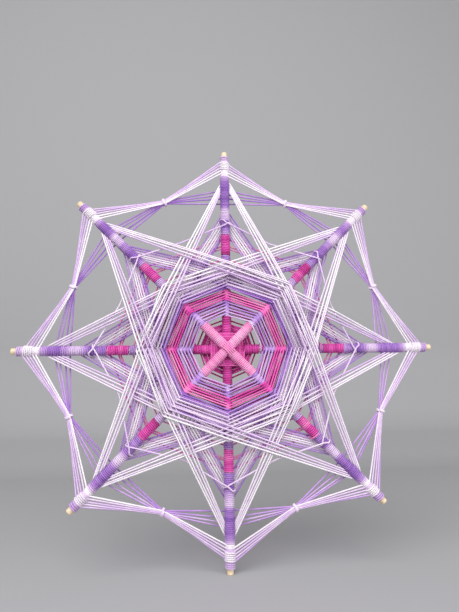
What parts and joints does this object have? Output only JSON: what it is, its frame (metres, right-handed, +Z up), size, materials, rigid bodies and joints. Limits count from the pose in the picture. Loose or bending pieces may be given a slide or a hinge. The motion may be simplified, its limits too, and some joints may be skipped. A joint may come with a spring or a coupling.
{
  "type": "ojo de dios",
  "caption": "Star-shaped ojo de dios wall ornament: crossed wooden dowels woven with pink, purple and white yarn into an octagon, nested stars and tied tips.",
  "frame": {"origin": "middle of the piece's outer box: on the axis where the dowels cross, half way through its depth", "axes": "+Z up along the upright dowel, +X to the right seen from the front, and the woven front faces -Y"},
  "size_m": [0.3, 0.025, 0.3],
  "materials": {
    "dowel_wood": "bare sanded wood",
    "white_yarn": "two-ply yarn, matt",
    "lavender_yarn": "two-ply yarn, matt",
    "purple_yarn": "two-ply yarn, matt",
    "pink_yarn": "two-ply yarn, matt",
    "magenta_yarn": "two-ply yarn, matt"
  },
  "bodies": {
    "root": {"dowel_level": "dowel_wood", "dowel_rising": "dowel_wood", "dowel_upright": "dowel_wood", "dowel_falling": "dowel_wood", "eye_square": "pink_yarn", "centre_swirl": "magenta_yarn", "back_eye": "pink_yarn", "octagon_lavender": "lavender_yarn", "octagon_pink": "pink_yarn", "magenta_winding_right": "magenta_yarn", "purple_sleeve_right": "purple_yarn", "tip_winding_right": "white_yarn", "magenta_winding_upper_right": "magenta_yarn", "purple_sleeve_upper_right": "purple_yarn", "tip_winding_upper_right": "white_yarn", "magenta_winding_top": "magenta_yarn", "purple_sleeve_top": "purple_yarn", "tip_winding_top": "white_yarn", "magenta_winding_upper_left": "magenta_yarn", "purple_sleeve_upper_left": "purple_yarn", "tip_winding_upper_left": "white_yarn", "magenta_winding_left": "magenta_yarn", "purple_sleeve_left": "purple_yarn", "tip_winding_left": "white_yarn", "magenta_winding_lower_left": "magenta_yarn", "purple_sleeve_lower_left": "purple_yarn", "tip_winding_lower_left": "white_yarn", "magenta_winding_bottom": "magenta_yarn", "purple_sleeve_bottom": "purple_yarn", "tip_winding_bottom": "white_yarn", "magenta_winding_lower_right": "magenta_yarn", "purple_sleeve_lower_right": "purple_yarn", "tip_winding_lower_right": "white_yarn", "mid_star_level": "purple_yarn", "mid_star_rising": "purple_yarn", "mid_star_upright": "purple_yarn", "mid_star_falling": "purple_yarn", "octagon_white": "white_yarn", "octagon_purple": "purple_yarn", "accent_strand": "lavender_yarn", "outer_star_level": "white_yarn", "outer_star_rising": "white_yarn", "outer_star_upright": "white_yarn", "outer_star_falling": "white_yarn", "back_octagon": "magenta_yarn", "back_web": "magenta_yarn", "front_bundle": "lavender_yarn", "back_bundle": "purple_yarn", "tie_1": "lavender_yarn", "tie_2": "lavender_yarn", "tie_3": "lavender_yarn", "tie_4": "lavender_yarn", "tie_5": "lavender_yarn", "tie_6": "lavender_yarn", "tie_7": "lavender_yarn", "tie_8": "lavender_yarn"}
  },
  "joints": []
}
